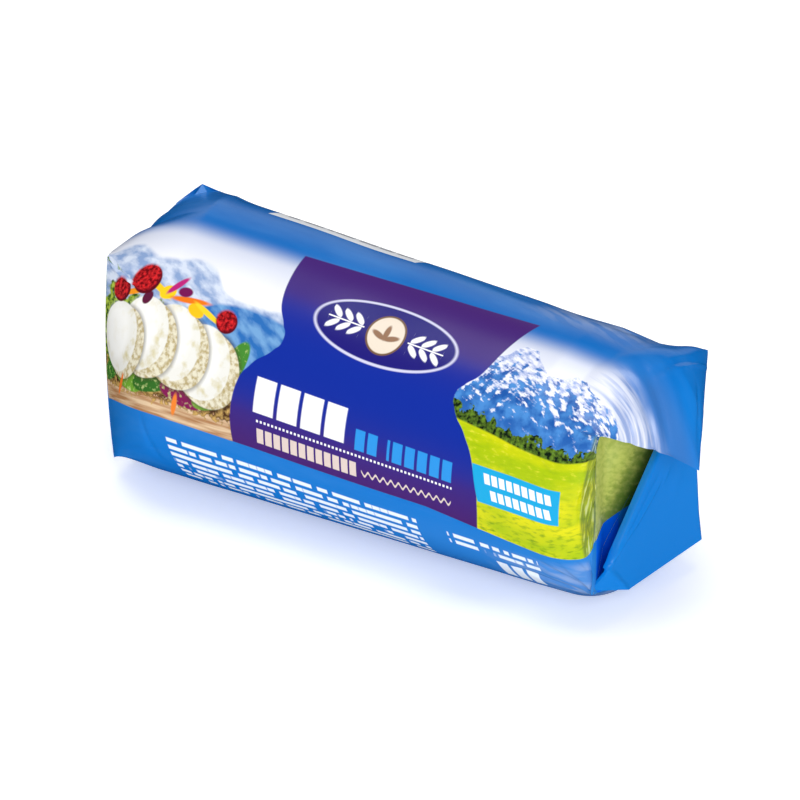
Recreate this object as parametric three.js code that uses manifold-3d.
// Film-wrapped log of soft cheese, shut at both ends like a wrapped present.
// Units are millimetres, +Z is up and the log lies along X on its underside.
// Names used below: a "rim" is the corner loop where the film turns onto an end, and a "hood" is the
// top flap of an end, folded down last, which stands off the end as a blunt wedge.
import * as THREE from "three";
import { ConvexGeometry } from "three/addons/geometries/ConvexGeometry.js";
import { mergeVertices } from "three/addons/utils/BufferGeometryUtils.js";
import Module from "manifold-3d";

// ---- driving dimensions -------------------------------------------------------------------------

// Radius of the round body at stations along X; the log tapers slightly to the right.
const BODY_RADIUS = [
  [-48, 22.8],
  [-30, 22.45],
  [0, 21.9],
  [25, 21.45],
  [34, 21.4],
  [41, 21],
  [48, 21],
];

// Depth of the flat that the soft underside presses on the table.
const REST_FLAT = 0.3;

// Angles round the body, in degrees from the front, of the four lines that run into the rim corners.
const CORNER_ANGLES = { lowerFront: -45, upperFront: 41, upperBack: 136, lowerBack: 225 };

// One end: rim corners and outward bulge of each rim side in [y, z]; where along X the body starts to
// turn in, by angle; how round that turn is, by angle, from 0 for a chamfer to 1 for a rolled edge;
// the ridge of taut film that runs to the upper back corner; the hood's tip as [x, y, z], how far its
// film runs straight on, how far it sags before it bends, and how far its two edges are lifted.
const RIGHT_END = {
  rimX: 47,
  corners: {
    lowerFront: [-16, 7],
    upperFront: [-16, 35.4],
    upperBack: [16, 37.3],
    lowerBack: [14, 5.3],
  },
  bulge: { front: 0, top: 0, back: -2.8, bottom: 0.8 },
  turnIn: [
    [-45, 39],
    [41, 39],
    [75, 40],
    [115, 45],
    [136, 45],
    [180, 38],
    [225, 38],
    [315, 39],
  ],
  roundness: [
    [-45, 1],
    [41, 1],
    [136, 0.6],
    [160, 0],
    [225, 0.2],
    [315, 1],
  ],
  ridge: { angle: 136, spread: 24, fromX: 40, toX: 45, rise: 1.3 },
  hoodTip: [57.4, -2.2, 26.4],
  hoodReach: [[90, 10]],
  hoodSag: [
    [41, 0],
    [90, -1],
    [136, -1],
  ],
  hoodEdgeLift: { front: 1.5, back: 1 },
  dishDepth: 0.6,
};

const LEFT_END = {
  rimX: -48,
  corners: {
    lowerFront: [-12.6, 3.4],
    upperFront: [-14, 39.9],
    upperBack: [12.8, 42.1],
    lowerBack: [13, 4.4],
  },
  bulge: { front: 1.3, top: 0, back: 0.5, bottom: 0.6 },
  turnIn: [
    [-45, -39],
    [-10, -34],
    [41, -34],
    [90, -38],
    [136, -43],
    [180, -37],
    [225, -40],
    [315, -39],
  ],
  roundness: [
    [-45, 0.4],
    [0, 0],
    [180, 0],
    [225, 0.5],
    [315, 0.4],
  ],
  ridge: { angle: 128, spread: 22, fromX: -36, toX: -43, rise: 0.5 },
  hoodTip: [-55.4, 0.5, 30],
  hoodReach: [
    [41, 10.5],
    [90, 10.5],
    [120, 13],
    [136, 13],
  ],
  hoodSag: [
    [41, 0],
    [60, -1],
    [75, 0],
    [90, 3],
    [105, 3.5],
    [120, 1],
    [136, -1],
  ],
  hoodEdgeLift: { front: 3.5, back: 3 },
  dishDepth: 0.6,
};

// Bottom flaps: outline on the end as [y, z], the fold at its heel as [x, y, z], and the x of its
// outer face and of its root inside the body.
const RIGHT_FLAP = {
  outline: [
    [-14, 11.3],
    [-8.3, 5.3],
    [13.4, 5.3],
    [13.2, 20],
    [12, 28],
    [2.7, 28],
  ],
  heel: [47.05, -15.7, 7.4],
  face: 48.2,
  root: 44,
};

const LEFT_FLAP = {
  outline: [
    [-11.4, 8.5],
    [-7.4, 4.4],
    [12, 4.4],
    [12, 20],
    [11, 30],
    [10, 30],
  ],
  heel: [-48.05, -12.4, 4.2],
  face: -49.2,
  root: -45,
};

// Exponent that eases a chamfered edge out of the round body; 1 would leave a crease.
const CHAMFER_EASE = 1.5;

// Share of the way to its free edge that a hood's film may run straight on.
const LONGEST_REACH = 0.85;

// Facets round one rim side, along the body, over a turned-in end, under a hood and across an end.
const SIDE_STEPS = 20;
const BODY_STEPS = 16;
const TURN_STEPS = 8;
const UNDER_STEPS = 2;
const CAP_STEPS = 4;

// ---- small helpers ------------------------------------------------------------------------------

const { clamp, lerp } = THREE.MathUtils;

/** Value at x of a table of [x, value] rows, straight between the rows. */
function tableAt(table, x) {
  const last = table.length - 1;
  if (x <= table[0][0]) return table[0][1];
  if (x >= table[last][0]) return table[last][1];
  const i = table.findIndex((row) => row[0] > x);
  const [x0, v0] = table[i - 1];
  const [x1, v1] = table[i];
  return lerp(v0, v1, (x - x0) / (x1 - x0));
}

/** Point of a quadratic curve through a and c, pulled towards b. */
function curveAt(a, b, c, t) {
  return a
    .clone()
    .multiplyScalar((1 - t) * (1 - t))
    .addScaledVector(b, 2 * t * (1 - t))
    .addScaledVector(c, t * t);
}

// ---- columns: the lines that run along the body, one set per rim side ---------------------------

const SIDES = [
  { name: "front", from: "lowerFront", to: "upperFront" },
  { name: "top", from: "upperFront", to: "upperBack" },
  { name: "back", from: "upperBack", to: "lowerBack" },
  { name: "bottom", from: "lowerBack", to: "lowerFront" },
];

/** All columns in order round the body: side, share of the side passed, and angle in degrees. */
function columnsRound() {
  const columns = [];
  for (const side of SIDES) {
    const start = CORNER_ANGLES[side.from];
    const end = side.name === "bottom" ? CORNER_ANGLES[side.to] + 360 : CORNER_ANGLES[side.to];
    for (let k = 0; k < SIDE_STEPS; k++) {
      const share = k / SIDE_STEPS;
      columns.push({ side, share, angle: lerp(start, end, share) });
    }
  }
  return columns;
}

/** How far an end's ridge stands off the round body at x and an angle. */
function ridgeHeight({ angle, spread, fromX, toX, rise }, x, atAngle) {
  const aside = clamp(Math.abs(atAngle - angle) / spread, 0, 1);
  const along = clamp((x - fromX) / (toX - fromX), 0, 1);
  return rise * along * along * (1 - aside * aside) ** 2;
}

/** Point of the round body at x and an angle, with its ridges and the underside pressed flat. */
function bodyPoint(x, angle) {
  const ridges = ridgeHeight(LEFT_END.ridge, x, angle) + ridgeHeight(RIGHT_END.ridge, x, angle);
  const radius = tableAt(BODY_RADIUS, x) + ridges;
  const a = THREE.MathUtils.degToRad(angle);
  const z = radius - ridges + radius * Math.sin(a);
  return new THREE.Vector3(x, -radius * Math.cos(a), Math.max(z, REST_FLAT));
}

/** Point of an end's rim on the chord of a column's side, bulged outwards. */
function rimPoint(end, column) {
  const [y0, z0] = end.corners[column.side.from];
  const [y1, z1] = end.corners[column.side.to];
  const length = Math.hypot(y1 - y0, z1 - z0);
  const rise = 4 * column.share * (1 - column.share) * end.bulge[column.side.name];
  const y = lerp(y0, y1, column.share) - (rise * (z1 - z0)) / length;
  const z = lerp(z0, z1, column.share) + (rise * (y1 - y0)) / length;
  return new THREE.Vector3(end.rimX, y, z);
}

// ---- one end of the pack ------------------------------------------------------------------------

/** Point of the hood's free edge, which runs from the front corner to the tip to the back corner. */
function hoodEdgePoint(end, share) {
  const tip = new THREE.Vector3(...end.hoodTip);
  const corner = share < 0.5 ? end.corners.upperFront : end.corners.upperBack;
  const root = new THREE.Vector3(end.rimX, ...corner);
  const middle = root.clone().lerp(tip, 0.5);
  middle.z += share < 0.5 ? end.hoodEdgeLift.front : end.hoodEdgeLift.back;
  return curveAt(root, middle, tip, share < 0.5 ? 2 * share : 2 - 2 * share);
}

/** Film of a top column: straight on from the body, then bent down to the hood's free edge. */
function hoodPath(end, column) {
  const start = bodyPoint(tableAt(end.turnIn, column.angle), column.angle);
  const finish = hoodEdgePoint(end, column.share);
  const outwards = Math.sign(end.rimX);
  const freeLength = Math.abs(finish.x - start.x);
  const reach = Math.min(tableAt(end.hoodReach, column.angle), LONGEST_REACH * freeLength);
  const bend = start.clone();
  bend.x += outwards * reach;
  bend.z -= tableAt(end.hoodSag, column.angle);
  return (t) => curveAt(start, bend, finish, t);
}

/** Film of a side column: turned over a rolled or chamfered edge onto the end. */
function tuckPath(end, column) {
  const startX = tableAt(end.turnIn, column.angle);
  const roundness = tableAt(end.roundness, column.angle);
  const rim = rimPoint(end, column);
  return (t) => {
    const onwards = lerp(t, Math.sin((t * Math.PI) / 2), roundness);
    const inwards = lerp(t ** CHAMFER_EASE, 1 - Math.cos((t * Math.PI) / 2), roundness);
    const point = bodyPoint(lerp(startX, end.rimX, onwards), column.angle);
    point.y = lerp(point.y, rim.y, inwards);
    point.z = lerp(point.z, rim.z, inwards);
    return point;
  };
}

/** Where the hood's underside meets the end: the top rim chord, sagging towards the middle. */
function hoodRoot(end, column) {
  const point = rimPoint(end, column);
  point.z -= 12 * column.share * (1 - column.share);
  return point;
}

/** Rings of one end, from the first that leaves the round body to the last before the centre. */
function endRings(end, columns) {
  const rings = [];
  const centre = new THREE.Vector3(end.rimX - Math.sign(end.rimX) * end.dishDepth, 0, 19);
  const paths = columns.map((c) => (c.side.name === "top" ? hoodPath(end, c) : tuckPath(end, c)));
  const roots = columns.map((c) => (c.side.name === "top" ? hoodRoot(end, c) : rimPoint(end, c)));
  const edges = paths.map((path) => path(1));
  for (let k = 1; k <= TURN_STEPS; k++) rings.push(paths.map((path) => path(k / TURN_STEPS)));
  for (let k = 1; k <= UNDER_STEPS; k++) {
    rings.push(edges.map((edge, i) => edge.clone().lerp(roots[i], k / UNDER_STEPS)));
  }
  for (let k = 1; k < CAP_STEPS; k++) {
    rings.push(roots.map((root) => root.clone().lerp(centre, k / CAP_STEPS)));
  }
  return { rings, centre };
}

// ---- the wrapped body as one closed surface -----------------------------------------------------

/** Collects triangles between shared vertices and drops those that have collapsed. */
class SurfaceBuilder {
  constructor() {
    this.indexOf = new Map();
    this.positions = [];
    this.triangles = [];
  }

  vertex(point) {
    const key = point.toArray().map((v) => Math.round(v * 1000)).join(" ");
    if (!this.indexOf.has(key)) {
      this.indexOf.set(key, this.positions.length / 3);
      this.positions.push(point.x, point.y, point.z);
    }
    return this.indexOf.get(key);
  }

  triangle(a, b, c) {
    const [i, j, k] = [a, b, c].map((point) => this.vertex(point));
    if (i !== j && j !== k && k !== i) this.triangles.push(i, j, k);
  }

  band(ring, next) {
    ring.forEach((point, i) => {
      const j = (i + 1) % ring.length;
      this.triangle(point, next[i], next[j]);
      this.triangle(point, next[j], ring[j]);
    });
  }

  fan(ring, centre, reversed) {
    ring.forEach((point, i) => {
      const other = ring[(i + 1) % ring.length];
      if (reversed) this.triangle(centre, point, other);
      else this.triangle(centre, other, point);
    });
  }
}

/** Triangles of the film from one end's centre, over the body, to the other end's centre. */
function wrappedSurface() {
  const columns = columnsRound();
  const left = endRings(LEFT_END, columns);
  const right = endRings(RIGHT_END, columns);
  const body = [];
  for (let k = 0; k <= BODY_STEPS; k++) {
    const ringAt = (c) => {
      const x0 = tableAt(LEFT_END.turnIn, c.angle);
      const x1 = tableAt(RIGHT_END.turnIn, c.angle);
      return bodyPoint(lerp(x0, x1, k / BODY_STEPS), c.angle);
    };
    body.push(columns.map(ringAt));
  }
  const rings = [...left.rings.toReversed(), ...body, ...right.rings];
  const surface = new SurfaceBuilder();
  surface.fan(rings[0], left.centre, true);
  rings.slice(1).forEach((ring, i) => surface.band(rings[i], ring));
  surface.fan(rings.at(-1), right.centre, false);
  return surface;
}

// ---- solids -------------------------------------------------------------------------------------

const wasm = await Module();
wasm.setup();

function solidFromTriangles(positions, triangles) {
  return new wasm.Manifold(
    new wasm.Mesh({
      numProp: 3,
      vertProperties: new Float32Array(positions),
      triVerts: new Uint32Array(triangles),
    }),
  );
}

/** Bottom flap of one end: a thin plate turned up against the end, with a folded heel. */
function flapSolid(flap) {
  const outer = flap.outline.map(([y, z]) => new THREE.Vector3(flap.face, y, z));
  const inner = flap.outline.map(([y, z]) => new THREE.Vector3(flap.root, y, z));
  const plate = new ConvexGeometry([...outer, ...inner, new THREE.Vector3(...flap.heel)]);
  plate.deleteAttribute("normal");
  const shared = mergeVertices(plate);
  return solidFromTriangles(shared.getAttribute("position").array, shared.getIndex().array);
}

function geometryFromSolid(solid) {
  const { numProp, vertProperties, triVerts } = solid.getMesh();
  const positions = new Float32Array((vertProperties.length / numProp) * 3);
  for (let i = 0; i < positions.length / 3; i++) {
    positions.set(vertProperties.subarray(i * numProp, i * numProp + 3), i * 3);
  }
  const geometry = new THREE.BufferGeometry();
  geometry.setAttribute("position", new THREE.BufferAttribute(positions, 3));
  geometry.setIndex(new THREE.BufferAttribute(triVerts, 1));
  return geometry;
}

/** Moves a geometry so that the bottom centre of its bounding box is the origin. */
function standOnOrigin(geometry) {
  geometry.computeBoundingBox();
  const { min, max } = geometry.boundingBox;
  return geometry.translate(-(min.x + max.x) / 2, -(min.y + max.y) / 2, -min.z);
}

const film = wrappedSurface();
const pack = solidFromTriangles(film.positions, film.triangles)
  .add(flapSolid(RIGHT_FLAP))
  .add(flapSolid(LEFT_FLAP));
const packGeometry = standOnOrigin(geometryFromSolid(pack));

const printedFilm = new THREE.MeshStandardMaterial({ color: 0x1277c8, roughness: 0.3, metalness: 0 });
const packMesh = new THREE.Mesh(packGeometry, printedFilm);
packMesh.name = "cheese_log_pack";

const group = new THREE.Group();
group.name = "wrapped_cheese_log";
group.add(packMesh);

export default group;
